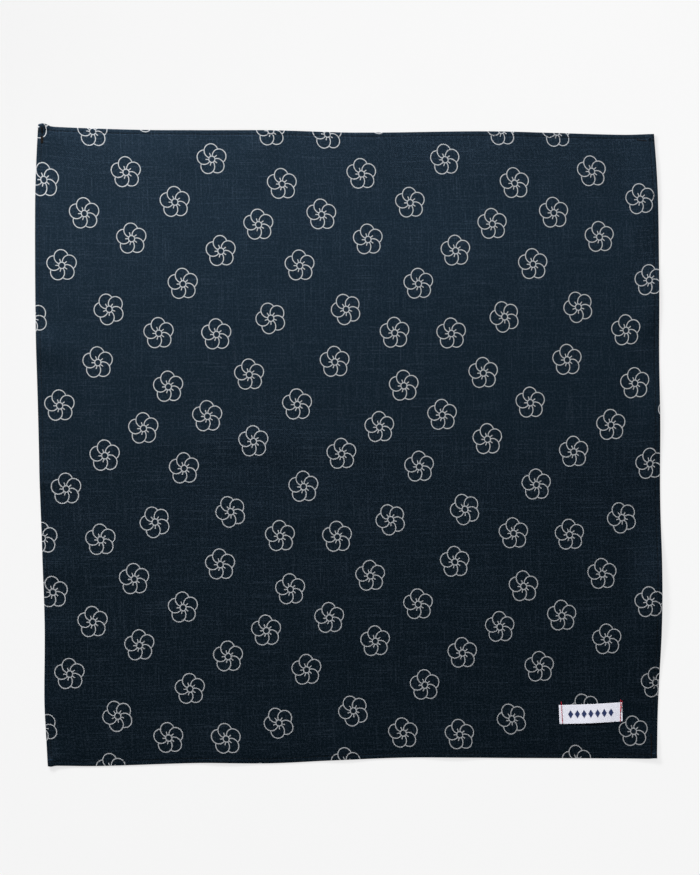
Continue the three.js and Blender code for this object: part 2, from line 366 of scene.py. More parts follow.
def smooth_step(share):
    """Eases from 0 to 1 as share goes from 0 to 1."""
    share = np.clip(share, 0, 1)
    return share * share * (3 - 2 * share)


def hump(distance):
    """A soft bump, 1 at 0 and 0 from 1 on."""
    return np.where(np.abs(distance) < 1, np.cos(np.pi / 2 * distance) ** 2, 0.0)


def soft_noise(x, y, size, layer=0.0):
    """Smooth noise from -1 to 1 whose swells are about size across."""
    flat = [noise.noise(Vector((a, b, layer))) for a, b in zip((x / size).flat, (y / size).flat)]
    return np.array(flat).reshape(x.shape)


def edge_bow(side, share):
    """How far a side bows out, by a smooth curve through its table."""
    stations, outs = np.array(EDGE_BOWS[side]).T
    outs = outs * MM
    before = np.concatenate((stations[:1], stations[:-1]))
    after = np.concatenate((stations[1:], stations[-1:]))
    slopes = (np.append(outs[1:], outs[-1]) - np.insert(outs[:-1], 0, outs[0])) / (after - before)
    k = np.clip(np.searchsorted(stations, share, side="right") - 1, 0, len(stations) - 2)
    span = stations[k + 1] - stations[k]
    t = (share - stations[k]) / span
    return (outs[k] + (outs[k + 1] - outs[k]) * smooth_step(t)
            + t * (1 - t) ** 2 * span * slopes[k] + t ** 2 * (t - 1) * span * slopes[k + 1])


def edge_line(side, share):
    """Points of a side of the laid cloth, for shares of its length from 0 to 1."""
    first, last, outward = SIDES[side]
    start = np.array(CORNERS[first]) * MM
    run = np.array(CORNERS[last]) * MM - start
    normal = outward * np.array((-run[1], run[0])) / np.hypot(*run)
    return start + share[..., None] * run + edge_bow(side, share)[..., None] * normal


def table_to_frame():
    """The move from the drawing table to the frame, whose origin is the middle of the outline."""
    share = np.linspace(0, 1, 801)
    outline = np.vstack([edge_line(side, share) for side in SIDES])
    middle = (outline.min(axis=0) + outline.max(axis=0)) / 2
    return np.array((CLOTH_LOW + CLOTH_HIGH)[:2]) / 2 - middle


TO_FRAME = table_to_frame()


def lay_down(across, up):
    """Where a flat place of the cloth comes to lie: its four edges blended, as a soft sheet settles."""
    u = across / CLOTH_WIDTH
    v = up / CLOTH_LENGTH
    du, dv = u[..., None], v[..., None]
    corner = {name: np.array(place) * MM for name, place in CORNERS.items()}
    edges = (edge_line("top", u) * dv + edge_line("bottom", u) * (1 - dv)
             + edge_line("left", v) * (1 - du) + edge_line("right", v) * du)
    return edges - (corner["top_left"] * (1 - du) * dv + corner["top_right"] * du * dv
                    + corner["bottom_left"] * (1 - du) * (1 - dv)
                    + corner["bottom_right"] * du * (1 - dv))


def inside_edges(across, up):
    """How far a flat place lies inside the nearer upright edge and the nearer level edge."""
    return np.minimum(across, CLOTH_WIDTH - across), np.minimum(up, CLOTH_LENGTH - up)


def wander(across, up):
    """The flat place with the hem's inner fold and stitches wandering, as a hand-guided hem does."""
    shifts = []
    for along, here, whole, layer in (
            (up, across, CLOTH_WIDTH, WANDER_LAYERS[0]), (across, up, CLOTH_LENGTH, WANDER_LAYERS[1])):
        inside = np.minimum(here, whole - here)
        weight = hump((inside - HEM_WIDTH) / (HEM_WIDTH * 0.95)) * HEM_WANDER
        inward = np.where(here < whole / 2, 1.0, -1.0)
        shifts.append(inward * weight * soft_noise(along, inward, HEM_WANDER_SIZE, layer))
    return across + shifts[0], up + shifts[1]


def rise(x, y):
    """Height of the folds and swells at a place on the table."""
    total = np.zeros_like(x)
    for middle_x, middle_y, turn, long, wide, height in RIDGES:
        angle = math.radians(turn)
        dx, dy = x - middle_x * MM, y - middle_y * MM
        along = (dx * math.cos(angle) + dy * math.sin(angle)) / (long * MM / 2)
        beside = (dy * math.cos(angle) - dx * math.sin(angle)) / (wide * MM / 2)
        total += height * MM * hump(along) * hump(beside)
    for layer, (size, height) in enumerate(WAVERS):
        total += height * (soft_noise(x, y, size, 11.3 * layer) + 1) / 2
    return total


def cloth_surfaces(across, up, layer):
    """Laid points of the upper and lower surface of the hemmed cloth, for flat places."""
    hem_height = 3 * layer
    middle = hem_height / 2
    rounding = np.ones_like(across)
    field = np.ones_like(across)
    past_hem = np.ones_like(across)
    both_hems = np.ones_like(across)
    groove = np.zeros_like(across)
    for inside in inside_edges(across, up):
        rounding *= np.sqrt(1 - (1 - np.clip(inside / middle, 0, 1)) ** 2)
        field *= smooth_step((inside - HEM_WIDTH) / HEM_RAMP)
        past_hem *= smooth_step((inside - HEM_WIDTH) / HEM_LIP + 0.5)
        both_hems *= 1 - smooth_step((inside - HEM_WIDTH * 0.7) / (HEM_WIDTH * 0.6))
        groove = np.maximum(groove, hump((inside - STITCH_INSET) / GROOVE_HALF))
    plateau = layer + (hem_height - layer) * (1 - field) + CORNER_BULK * both_hems
    upper = plateau - GROOVE_TOP * groove
    lower = past_hem * (plateau - layer) + (1 - past_hem) * GROOVE_UNDER * groove
    flat = lay_down(*wander(across, up))
    lifted = rise(flat[..., 0], flat[..., 1])
    for ear_across, ear_up, radius, push_across, push_up, lift in CORNER_EARS:
        away = np.hypot(across - ear_across * MM, up - ear_up * MM) / (radius * MM)
        weight = hump(away)
        flat = flat + weight[..., None] * np.array((push_across, push_up)) * MM
        lifted = lifted + weight * lift * MM
    flat = flat + TO_FRAME
    surfaces = []
    for height in (upper, lower):
        z = middle + (height - middle) * rounding + lifted
        surfaces.append(np.concatenate((flat, z[..., None]), axis=-1))
    return surfaces


def mesh_lines(whole, cloth):
    """Flat places of the mesh lines from one edge to the other: close at the hems, even between."""
    turn = np.linspace(0, math.pi / 2, FOLD_STEPS + 1)
    fold = cloth.layer * 1.5 * (1 - np.cos(turn))
    edge = np.concatenate((fold, np.array(HEM_LINES) * MM))
    cells = round((whole - 2 * edge[-1]) / cloth.cell)
    field = np.linspace(edge[-1], whole - edge[-1], cells + 1)[1:-1]
    return np.concatenate((edge, field, whole - edge[::-1]))


def thread_place(across, up):
    """Place along the cloth's own threads of a flat place, which may lie past the hem's fold."""
    u = np.clip(across / CLOTH_WIDTH, 0, 1) * 2 - 1
    v = np.clip(up / CLOTH_LENGTH, 0, 1) * 2 - 1
    drift_across = sum(u ** i * v ** j * drift * MM for i, j, drift, _ in THREAD_DRIFT)
    drift_up = sum(u ** i * v ** j * drift * MM for i, j, _, drift in THREAD_DRIFT)
    pull_across, pull_up, radius, shift_across, shift_up = np.array(CORNER_PULL) * MM
    pulled = hump(np.hypot(across - pull_across, up - pull_up) / radius)
    return np.stack((across - drift_across - pulled * shift_across,
                     up - drift_up - pulled * shift_up), axis=-1)


def blossom_place(corners):
    """Places of face corners about the nearest printed blossom, turned so that a petal points along X."""
    middles = corners.mean(axis=1)
    repeat = np.array((REPEAT_ACROSS, REPEAT_DOWN)).T
    nearest = np.full(len(middles), np.inf)
    local = np.zeros_like(corners)
    for across, up, tilted in BLOSSOMS:
        from_first = middles - np.array((across, up)) * MM
        steps = np.round(from_first @ np.linalg.inv(repeat).T)
        centre = np.array((across, up)) * MM + steps @ repeat.T
        away = np.hypot(*(middles - centre).T)
        closer = away < nearest
        turn = TILTED_TURN if tilted else UPRIGHT_TURN
        untwist = np.array(((math.cos(turn), -math.sin(turn)), (math.sin(turn), math.cos(turn))))
        offset = (corners - centre[:, None]) / PRINT_STRETCH @ untwist
        local[closer] = offset[closer]
        nearest[closer] = away[closer]
    return local


def make_piece(name, points, faces, materials, uv_maps, face_materials=None):
    """A smooth mesh object with its materials and UV maps, riding on the part."""
    mesh = bpy.data.meshes.new(name)
    mesh.from_pydata(points.tolist(), [], faces)
    for material in materials:
        mesh.materials.append(material)
    if face_materials is not None:
        mesh.polygons.foreach_set("material_index", face_materials)
    for uv_name, values in uv_maps.items():
        layer = mesh.uv_layers.new(name=uv_name)
        layer.uv.foreach_set("vector", np.asarray(values, np.float32).ravel())
    mesh.shade_smooth()
    mesh.validate()
    piece = bpy.data.objects.new(name, mesh)
    bpy.context.scene.collection.objects.link(piece)
    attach(piece, "root")
    return piece


def grid_faces(index, lower_index):
    """Upper faces looking up and lower faces looking down, from the two grids of vertex numbers."""
    upper = np.stack((index[:-1, :-1], index[1:, :-1], index[1:, 1:], index[:-1, 1:]), axis=-1)
    lower = np.stack((lower_index[:-1, :-1], lower_index[:-1, 1:],
                      lower_index[1:, 1:], lower_index[1:, :-1]), axis=-1)
    return upper.reshape(-1, 4), lower.reshape(-1, 4)


def closed_sheet(upper, lower):
    """Points and faces of a thin closed sheet whose two surfaces share their border points."""
    shape = upper.shape[:2]
    index = np.arange(shape[0] * shape[1]).reshape(shape)
    inner = np.zeros(shape, bool)
    inner[1:-1, 1:-1] = True
    lower_index = index.copy()
    lower_index[inner] = index.size + np.arange(inner.sum())
    points = np.vstack((upper.reshape(-1, 3), lower[inner]))
    return points, grid_faces(index, lower_index), index


def cloth_panel(cloth):
    """The printed cotton with its four hems turned under."""
    lines_across = mesh_lines(CLOTH_WIDTH, cloth)
    lines_up = mesh_lines(CLOTH_LENGTH, cloth)
    across, up = np.meshgrid(lines_across, lines_up, indexing="ij")
    points, (upper, lower), index = closed_sheet(*cloth_surfaces(across, up, cloth.layer))

    flat = np.stack(wander(across, up), axis=-1)
    upper_places = flat.reshape(-1, 2)[upper]
    lower_places = flat.reshape(-1, 2)[grid_faces(index, index)[1]]
    # Under the hem the printed side is turned out, and the cloth runs on past the fold.
    inside_across, inside_up = inside_edges(*lower_places.mean(axis=1).T)
    hem_end = HEM_WIDTH + HEM_LIP / 2
    side_hem = inside_across < hem_end
    level_hem = (inside_up < hem_end) & ~side_hem
    for axis, whole, chosen in ((0, CLOTH_WIDTH, side_hem), (1, CLOTH_LENGTH, level_hem)):
        here = lower_places[chosen, :, axis]
        lower_places[chosen, :, axis] = np.where(here < whole / 2, -here, 2 * whole - here)
    places = thread_place(*np.moveaxis(np.concatenate((upper_places, lower_places)), -1, 0))
    face_materials = np.zeros(len(places), np.int32)
    face_materials[len(upper):][~side_hem & ~level_hem] = 1

    faces = np.vstack((upper, lower)).tolist()
    maps = {"cloth": places, "blossom": blossom_place(places)}
    materials = [slub_cotton(cloth, printed=True), slub_cotton(cloth, printed=False)]
    piece = make_piece(CLOTH_PIECE, points, faces, materials, maps, face_materials)
    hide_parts("cloth")
    return piece


def label_surfaces(x, y, label, layer):
    """Upper and lower surface of the ribbon, for places in metres from the label's middle."""
    curved = y + LABEL_SMILE * (2 * x / label.length) ** 2
    across = LABEL_MIDDLE[0] + x * math.cos(LABEL_TILT) - curved * math.sin(LABEL_TILT)
    up = LABEL_MIDDLE[1] + x * math.sin(LABEL_TILT) + curved * math.cos(LABEL_TILT)
    upper, _ = cloth_surfaces(across, up, layer)
    along = np.clip(x / label.length + 0.5, 0, 1)
    from_top = np.clip(0.5 - y / label.width, 0, 1)
    bow = label.bow * np.sin(math.pi * along) ** 2 * from_top
    ripple = RIPPLE * (soft_noise(x, y, RIPPLE_SIZE, RIPPLE_LAYER) + 1) * np.sin(math.pi * along) ** 2
    lower = upper.copy()
    lower[..., 2] += LABEL_SEAT + bow + ripple
    raised = lower.copy()
    raised[..., 2] += label.thickness
    return raised, lower


def ribbon_label(label, cloth):
    """The woven label, lying on the cloth and held only at its ends."""
    trim = np.array(LABEL_EDGE_LINES) * MM
    x_lines = np.linspace(0, label.length, LABEL_CELLS[0] + 1)
    y_lines = np.linspace(0, label.width, LABEL_CELLS[1] + 1)
    x_lines = np.concatenate((trim, x_lines[1:-1], label.length - trim[::-1])) - label.length / 2
    y_lines = np.concatenate((trim, y_lines[1:-1], label.width - trim[::-1])) - label.width / 2
    x, y = np.meshgrid(x_lines, y_lines, indexing="ij")
    upper, lower = label_surfaces(x, y, label, cloth.layer)
    inside = np.minimum(label.length / 2 - np.abs(x), label.width / 2 - np.abs(y))
    edge = np.sqrt(1 - (1 - np.clip(inside / (label.thickness / 2), 0, 1)) ** 2)[..., None]
    middle = (upper + lower) / 2
    upper = middle + (upper - middle) * edge
    lower = middle + (lower - middle) * edge
    points, (top, under), index = closed_sheet(upper, lower)
    place = np.stack((x, y), axis=-1).reshape(-1, 2)
    maps = {"ribbon": np.concatenate((place[top], place[grid_faces(index, index)[1]]))}
    faces = np.vstack((top, under)).tolist()
    piece = make_piece(LABEL_PIECE, points, faces, [woven_ribbon(label)], maps)
    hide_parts("label")
    return piece


def stitch_row(start, end, pitch):
    """Middles and directions of the stitches of a straight row between two places."""
    start, end = np.array(start), np.array(end)
    run = np.hypot(*(end - start))
    count = max(1, round(run / pitch))
    share = (np.arange(count) + 0.5) / count
    return start + share[:, None] * (end - start), np.tile((end - start) / run, (count, 1))


def stitches(rows, surface, radius, pitch, cover=0.84, dip=2.2, flip=1.0):
    """Points, faces and UVs of stitches laid along rows on a surface, their ends drawn into it."""
    middles, ways = (np.concatenate(parts) for parts in zip(*rows))
    along = np.array((-0.5, -0.3, 0.3, 0.5))
    sides = THREAD_SIDES
    around = np.arange(sides) * 2 * math.pi / sides
    reach = along[:, None] * pitch * cover
    swell = radius * (1 - 0.35 * (2 * along[:, None]) ** 4)
    beside = swell * np.cos(around)
    above = swell * np.sin(around) + radius * (0.7 - dip * (2 * along[:, None]) ** 4)
    line = middles[:, None] + reach[None, :] * ways[:, None]
    normal = np.stack((-ways[:, 1], ways[:, 0]), axis=-1)
    spread = np.broadcast_to(line[:, :, None], (len(middles), len(along), sides, 2))
    spread = spread + beside[None, :, :, None] * normal[:, None, None]
    seat = surface(line[..., 0], line[..., 1])[..., 2]
    points = surface(spread[..., 0], spread[..., 1]).copy()
    points[..., 2] = seat[..., None] + flip * above[None]

    number = np.arange(len(along) * sides).reshape(len(along), sides)
    following = np.roll(number, -1, axis=1)
    tube = np.stack((number[:-1], following[:-1], following[1:], number[1:]), axis=-1).reshape(-1, 4)
    ends = (number[0][::-1], number[-1])
    if flip < 0:
        tube = tube[:, ::-1]
        ends = (number[0], number[-1][::-1])
    ring_uv = np.stack(np.meshgrid(reach[:, 0], np.arange(sides + 1) / sides, indexing="ij"), axis=-1)
    quads = np.stack((ring_uv[:-1, :-1], ring_uv[:-1, 1:], ring_uv[1:, 1:], ring_uv[1:, :-1]), axis=-2)
    quads = quads.reshape(-1, 4, 2)
    if flip < 0:
        quads = quads[:, ::-1]
    caps = np.zeros((2 * sides, 2))
    one_uv = np.concatenate((quads.reshape(-1, 2), caps))
    one_faces = tube.tolist() + [list(map(int, cap)) for cap in ends]
    size = number.size
    faces = [[v + k * size for v in face] for k in range(len(middles)) for face in one_faces]
    return points.reshape(-1, 3), faces, np.tile(one_uv, (len(middles), 1))


def thread_piece(name, material, parts):
    """One piece made of several sets of stitches."""
    points, faces, uvs, first = [], [], [], 0
    for part_points, part_faces, part_uvs in parts:
        points.append(part_points)
        faces += [[v + first for v in face] for face in part_faces]
        uvs.append(part_uvs)
        first += len(part_points)
    piece = make_piece(name, np.concatenate(points), faces, [material], {"thread": np.concatenate(uvs)})
    return piece


def hem_stitch_piece(cloth, thread):
    """Four rows of lockstitch, seen on the face of the hems and again underneath."""
    end, inset = SEAM_END, STITCH_INSET
    right, top = CLOTH_WIDTH - inset, CLOTH_LENGTH - inset
    seams = (
        ((end, inset), (CLOTH_WIDTH - end, inset)),
        ((end, top), (CLOTH_WIDTH - end, top)),
        ((inset, end), (inset, CLOTH_LENGTH - end)),
        ((right, end), (right, CLOTH_LENGTH - end)),
    )
    rows = [stitch_row(start, stop, thread.pitch) for start, stop in seams]
    radius = thread.diameter / 2
    face = stitches(rows, lambda a, u: cloth_surfaces(a, u, cloth.layer)[0], radius, thread.pitch)
    under = stitches(rows, lambda a, u: cloth_surfaces(a, u, cloth.layer)[1], radius, thread.pitch,
                     flip=-1.0)
    # The thread's colour is its own navy, darkened with painted shade of the stitch groove.
    material = sewing_thread("polyester_thread_navy_with_painted_groove_shade", thread.hem)
    return thread_piece(HEM_STITCH_PIECE, material, (face, under))


def corner_tack_piece(cloth, thread):
    """Short overlapping stitches in brown thread where the seams end at three corners."""
    rows = []
    for across, up, to_across, to_up in TACK_ROWS:
        rows.append(stitch_row((across * MM, up * MM), (to_across * MM, to_up * MM), thread.pitch / 2))
    laid = stitches(rows, lambda a, u: cloth_surfaces(a, u, cloth.layer)[0],
                    thread.tack_diameter / 2, thread.pitch / 2, cover=1.15, dip=0.6)
    material = sewing_thread("cotton_thread_mercerised_brown", thread.tack)
    return thread_piece(TACK_PIECE, material, (laid,))


def label_stitch_piece(cloth, label, thread):
    """Rows of red stitches across the ends of the label, run a little past its top, and a cut end."""
    def seat(x, y):
        upper, lower = label_surfaces(x, y, label, cloth.layer)
        on_ribbon = (np.abs(x) < label.length / 2) & (np.abs(y) < label.width / 2)
        beside = lower.copy()
        beside[..., 2] -= LABEL_SEAT
        return np.where(on_ribbon[..., None], upper, beside)

    def rows(table, pitch=None):
        made = []
        for x, y, to_x, to_y in table:
            long = math.hypot(to_x - x, to_y - y) * MM
            made.append(stitch_row((x * MM, y * MM), (to_x * MM, to_y * MM), pitch or long))
        return made

    radius = thread.label_diameter / 2
    seams = stitches(rows(LABEL_ROWS, thread.pitch), seat, radius, thread.pitch, cover=1.0, dip=0.9)
    cut = stitches(rows(LOOSE_ENDS), seat, radius, CUT_END, cover=1.0)
    material = sewing_thread("polyester_thread_spun_red", thread.label)
    return thread_piece(LABEL_STITCH_PIECE, material, (seams, cut))


def add_node(tree, kind, inputs=None, **settings):
    """Adds a node with its settings and inputs: a node given as an input links its first output."""
    node = tree.nodes.new(kind)
    for name, value in settings.items():
        setattr(node, name, value)
    for key, value in (inputs or {}).items():
        if isinstance(value, bpy.types.Node):
            value = value.outputs[0]
        if isinstance(value, bpy.types.NodeSocket):
            tree.links.new(value, node.inputs[key])
        else:
            node.inputs[key].default_value = value
    return node


def new_material(name):
    """A material with an empty node tree."""
    material = bpy.data.materials.new(name)
    material.use_nodes = True
    material.node_tree.nodes.clear()
    return material


def blossom_distance(tree, cloth):
    """Distance to the nearest printed line of a blossom: five petals, each lying over the one after
    it, a ring in the middle, and a stamen on each petal."""
    place = add_node(tree, "ShaderNodeUVMap", uv_map="blossom")
    parts = add_node(tree, "ShaderNodeSeparateXYZ", {0: place})
    out = add_node(tree, "ShaderNodeVectorMath", {0: place}, operation="LENGTH").outputs["Value"]
    angle = add_node(tree, "ShaderNodeMath", {0: parts.outputs["Y"], 1: parts.outputs["X"]},
                     operation="ARCTAN2")
    step = 2 * math.pi / PETALS
    share = add_node(tree, "ShaderNodeMath", {0: angle, 1: step}, operation="DIVIDE")
    petal = add_node(tree, "ShaderNodeMath", {0: share}, operation="ROUND")
    back = add_node(tree, "ShaderNodeMath", {0: petal, 1: -step}, operation="MULTIPLY")
    folded = add_node(tree, "ShaderNodeVectorRotate", {"Vector": place, "Angle": back},
                      rotation_type="Z_AXIS")

    nearest = None
    over = None
    for number in (-1, 0, 1):
        centre = Vector((math.cos(number * step), math.sin(number * step), 0)) * cloth.petal_reach
        away = add_node(tree, "ShaderNodeVectorMath", {0: folded, 1: centre},
                        operation="DISTANCE").outputs["Value"]
        off = add_node(tree, "ShaderNodeMath", {0: away, 1: cloth.petal_radius}, operation="SUBTRACT")
        line = add_node(tree, "ShaderNodeMath", {0: off}, operation="ABSOLUTE")
        if over:
            hidden = add_node(tree, "ShaderNodeMath", {0: over, 1: cloth.petal_radius},
                              operation="LESS_THAN")
            line = add_node(tree, "ShaderNodeMath", {0: hidden, 1: FAR_OFF, 2: line},
                            operation="MULTIPLY_ADD")
            line = add_node(tree, "ShaderNodeMath", {0: nearest, 1: line}, operation="MINIMUM")
        nearest = line
        over = away

    in_ring = add_node(tree, "ShaderNodeMath", {0: out, 1: cloth.ring_radius}, operation="LESS_THAN")
    petals = add_node(tree, "ShaderNodeMath", {0: in_ring, 1: FAR_OFF, 2: nearest},
                      operation="MULTIPLY_ADD")
    from_ring = add_node(tree, "ShaderNodeMath", {0: out, 1: cloth.ring_radius}, operation="SUBTRACT")
    ring = add_node(tree, "ShaderNodeMath", {0: from_ring}, operation="ABSOLUTE")
    stamen = add_node(tree, "ShaderNodeVectorRotate", {"Vector": folded, "Angle": -STAMEN_TURN},
                      rotation_type="Z_AXIS")
    along = add_node(tree, "ShaderNodeSeparateXYZ", {0: stamen})
    past = add_node(tree, "ShaderNodeMath", {0: along.outputs["X"], 1: cloth.stamen_reach},
                    operation="SUBTRACT")
    before = add_node(tree, "ShaderNodeMath", {0: cloth.ring_radius, 1: along.outputs["X"]},
                      operation="SUBTRACT")
    beyond = add_node(tree, "ShaderNodeMath", {0: past, 1: before}, operation="MAXIMUM")
    beyond = add_node(tree, "ShaderNodeMath", {0: beyond, 1: 0.0}, operation="MAXIMUM")
    offset = add_node(tree, "ShaderNodeCombineXYZ", {"X": beyond, "Y": along.outputs["Y"]})
    from_stamen = add_node(tree, "ShaderNodeVectorMath", {0: offset}, operation="LENGTH")
    middle = add_node(tree, "ShaderNodeMath", {0: ring, 1: from_stamen.outputs["Value"]},
                      operation="MINIMUM")
    return add_node(tree, "ShaderNodeMath", {0: petals, 1: middle}, operation="MINIMUM")


def yarn_tone(tree, place):
    """How pale the yarns are at a place, about half on average, and how thick the slubs are there."""
    tone = None
    slubs = None
    for row, (width, long, low, high, strength) in enumerate(YARN_STREAKS):
        across_scale = (1 / (width * MM), 1 / (long * MM), 1)
        for way, scale in enumerate((across_scale, (across_scale[1], across_scale[0], 1))):
            moved = add_node(tree, "ShaderNodeMapping", {
                "Vector": place, "Scale": scale, "Location": (17.3 * row + 5.1, 41.7 * way + 2.9, 0)})
            speckle = add_node(tree, "ShaderNodeTexNoise", {
                "Vector": moved, "Scale": 1.0, "Detail": 2.0, "Roughness": 0.55},
                noise_dimensions="2D")
            streak = add_node(tree, "ShaderNodeMapRange", {
                "Value": speckle, "From Min": low, "From Max": high}, interpolation_type="SMOOTHSTEP")
            start = 0.0 if tone is None else tone
            tone = add_node(tree, "ShaderNodeMath", {0: streak, 1: strength, 2: start},
                            operation="MULTIPLY_ADD")
            if row == 1:
                slubs = streak if slubs is None else add_node(
                    tree, "ShaderNodeMath", {0: slubs, 1: streak}, operation="MAXIMUM")
    fuzz = add_node(tree, "ShaderNodeTexNoise", {
        "Vector": place, "Scale": 1 / (FUZZ_SIZE * MM), "Detail": 0.0}, noise_dimensions="2D")
    fibres = add_node(tree, "ShaderNodeMapRange", {
        "Value": fuzz, "From Min": 0.25, "From Max": 0.75}, interpolation_type="SMOOTHSTEP")
    tone = add_node(tree, "ShaderNodeMath", {0: fibres, 1: FUZZ_STRENGTH, 2: tone},
                    operation="MULTIPLY_ADD")
    return tone, slubs


def plain_weave(tree, place, spacing):
    """Height of the weave's crossings: every second one has the warp on top."""
    parts = add_node(tree, "ShaderNodeSeparateXYZ", {0: place})
    waves = []
    for axis in ("X", "Y"):
        turned = add_node(tree, "ShaderNodeMath", {0: parts.outputs[axis], 1: math.pi / spacing},
                          operation="MULTIPLY")
        waves.append(add_node(tree, "ShaderNodeMath", {0: turned}, operation="SINE"))
    return add_node(tree, "ShaderNodeMath", {0: waves[0], 1: waves[1]}, operation="MULTIPLY")


def slub_cotton(cloth, printed):
    """Cotton plain-woven from slub yarns, piece-dyed, and screen-printed with pigment on its face.
    To the eye it is dark and matt with short paler streaks both ways, and the printed lines are dry
    and a little broken where they cross the yarns. The reverse is paler and shows the print faintly."""
    material = new_material("slub_cotton_woven_printed" if printed else "slub_cotton_woven_reverse")
    tree = material.node_tree
    place = add_node(tree, "ShaderNodeUVMap", uv_map="cloth")
    tone, slubs = yarn_tone(tree, place)
    ground = add_node(tree, "ShaderNodeValToRGB", {"Fac": tone})
    stops = ground.color_ramp.elements
    stops[0].position, stops[0].color = 0.25, cloth.shade
    stops[1].position, stops[1].color = 0.95, cloth.slub
    middle = stops.new(0.48)
    middle.color = cloth.dye if printed else cloth.back

    distance = blossom_distance(tree, cloth)
    grain = add_node(tree, "ShaderNodeTexNoise", {
        "Vector": place, "Scale": 1 / (2 * cloth.yarn), "Detail": 1.0}, noise_dimensions="2D")
    ragged = add_node(tree, "ShaderNodeMath", {0: grain, 1: INK_BREAK, 2: distance},
                      operation="MULTIPLY_ADD")
    half_line = cloth.line / 2 + INK_BREAK / 2
    ink = add_node(tree, "ShaderNodeMapRange", {
        "Value": ragged, "From Min": half_line - INK_SOFTNESS, "From Max": half_line + INK_SOFTNESS,
        "To Min": 1.0, "To Max": 0.0}, interpolation_type="SMOOTHSTEP")
    most, least = FACE_COVER if printed else REVERSE_COVER
    cover = add_node(tree, "ShaderNodeMapRange", {
        "Value": grain, "From Min": 0.3, "From Max": 0.62, "To Min": most, "To Max": least})
    coat = add_node(tree, "ShaderNodeMath", {0: ink, 1: cover}, operation="MULTIPLY")
    painted = add_node(tree, "ShaderNodeMix", {0: coat, 6: ground, 7: cloth.ink}, data_type="RGBA")

    weave = plain_weave(tree, place, WEAVE_DRAWN * cloth.yarn)
    height = add_node(tree, "ShaderNodeMath", {0: slubs, 1: 1.2, 2: weave}, operation="MULTIPLY_ADD")
    bump = add_node(tree, "ShaderNodeBump", {
        "Height": height, "Strength": 0.5, "Distance": WEAVE_DEPTH})
    dull = add_node(tree, "ShaderNodeMapRange", {
        "Value": tone, "From Min": 0.2, "From Max": 0.95, "To Min": 0.45, "To Max": 0.29})
    dry = add_node(tree, "ShaderNodeMapRange", {"Value": coat, "To Min": dull, "To Max": 0.7})
    shader = add_node(tree, "ShaderNodeBsdfPrincipled", {
        "Base Color": painted.outputs[2], "Roughness": dry, "Normal": bump, "IOR": 1.5,
        "Specular IOR Level": 0.24, "Specular Tint": linear("#9dcdff"),
        "Sheen Weight": 0.03, "Sheen Roughness": 0.5, "Sheen Tint": linear("#a9bfd6")})
    add_node(tree, "ShaderNodeOutputMaterial", {"Surface": shader})
    return material


def woven_ribbon(label):
    """Polyester ribbon, satin-woven on a narrow loom with a row of plain diamonds. To the eye it is
    a bluish white with a faint sheen, fine cross ribs and firm selvedges."""
    material = new_material("polyester_ribbon_satin_woven")
    tree = material.node_tree
    place = add_node(tree, "ShaderNodeUVMap", uv_map="ribbon")
    parts = add_node(tree, "ShaderNodeSeparateXYZ", {0: place})
    x, y = parts.outputs["X"], parts.outputs["Y"]

    shares = []
    wrapped = add_node(tree, "ShaderNodeMath", {0: x, 1: DIAMOND_PITCH / 2, 2: -DIAMOND_PITCH / 2},
                       operation="WRAP")
    for socket, half in ((wrapped, DIAMOND_HALF[0]), (y, DIAMOND_HALF[1])):
        off = add_node(tree, "ShaderNodeMath", {0: socket}, operation="ABSOLUTE")
        shares.append(add_node(tree, "ShaderNodeMath", {0: off, 1: half}, operation="DIVIDE"))
    diamond = add_node(tree, "ShaderNodeMath", {0: shares[0], 1: shares[1]}, operation="ADD")
    filled = add_node(tree, "ShaderNodeMapRange", {
        "Value": diamond, "From Min": 0.85, "From Max": 1.05, "To Min": 1.0, "To Max": 0.0})
    from_middle = add_node(tree, "ShaderNodeMath", {0: x}, operation="ABSOLUTE")
    in_row = add_node(tree, "ShaderNodeMath", {0: from_middle, 1: DIAMONDS * DIAMOND_PITCH / 2},
                      operation="LESS_THAN")
    motif = add_node(tree, "ShaderNodeMath", {0: filled, 1: in_row}, operation="MULTIPLY")

    grain = add_node(tree, "ShaderNodeTexNoise", {
        "Vector": add_node(tree, "ShaderNodeMapping", {"Vector": place, "Scale": (400, 3000, 1)}),
        "Scale": 1.0, "Detail": 2.0}, noise_dimensions="2D")
    dusk = add_node(tree, "ShaderNodeMapRange", {
        "Value": grain, "From Min": 0.3, "From Max": 0.7, "To Min": 0.9, "To Max": 1.04})
    white = add_node(tree, "ShaderNodeVectorMath", {0: label.ribbon[:3], "Scale": dusk},
                     operation="SCALE")
    woven = add_node(tree, "ShaderNodeMix", {0: motif, 6: white, 7: label.motif}, data_type="RGBA")

    turned = add_node(tree, "ShaderNodeMath", {0: x, 1: 2 * math.pi / (RIB_DRAWN * label.rib)},
                      operation="MULTIPLY")
    ribs = add_node(tree, "ShaderNodeMath", {0: turned}, operation="SINE")
    bump = add_node(tree, "ShaderNodeBump", {"Height": ribs, "Strength": 0.35, "Distance": 0.04 * MM})
    shader = add_node(tree, "ShaderNodeBsdfPrincipled", {
        "Base Color": woven.outputs[2], "Roughness": 0.42, "Normal": bump, "IOR": 1.54,
        "Specular IOR Level": 0.4, "Sheen Weight": 0.1, "Sheen Roughness": 0.4})
    add_node(tree, "ShaderNodeOutputMaterial", {"Surface": shader})
    return material


